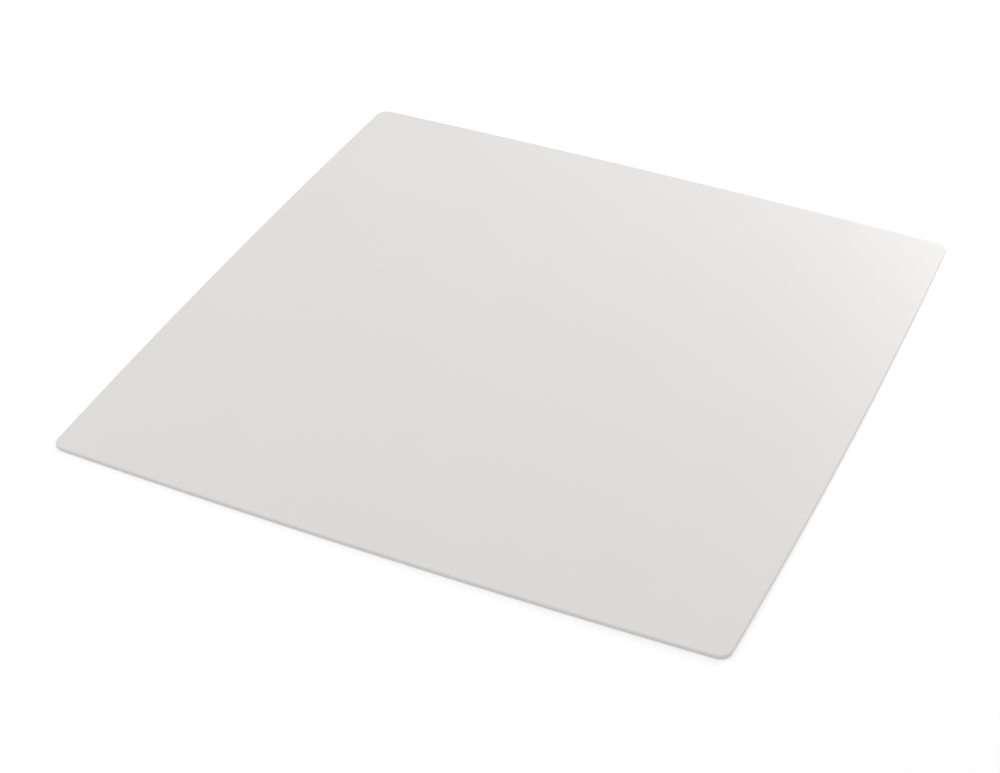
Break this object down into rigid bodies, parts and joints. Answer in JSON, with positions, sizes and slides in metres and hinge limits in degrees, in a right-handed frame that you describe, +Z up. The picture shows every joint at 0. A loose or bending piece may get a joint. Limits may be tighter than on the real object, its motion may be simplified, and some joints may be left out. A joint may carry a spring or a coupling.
{
  "type": "chair mat",
  "caption": "Flat square floor mat for an office chair: rigid sheet with bowed sides, rounded corners and edges, and a non-slip rubber backing let into its underside.",
  "frame": {"origin": "on the floor, under the centre of the mat", "axes": "+Z up through the mat's thickness; X and Y run square to the mat's sides"},
  "size_m": [1, 1, 0.005],
  "materials": {
    "sheet_plastic": "satin, very fine moulded grain, slightly warm light grey",
    "backing_rubber": "matt dark grey, moulded with small raised grip pads"
  },
  "bodies": {
    "root": {"mat_sheet": "sheet_plastic", "grip_backing": "backing_rubber"}
  },
  "joints": []
}
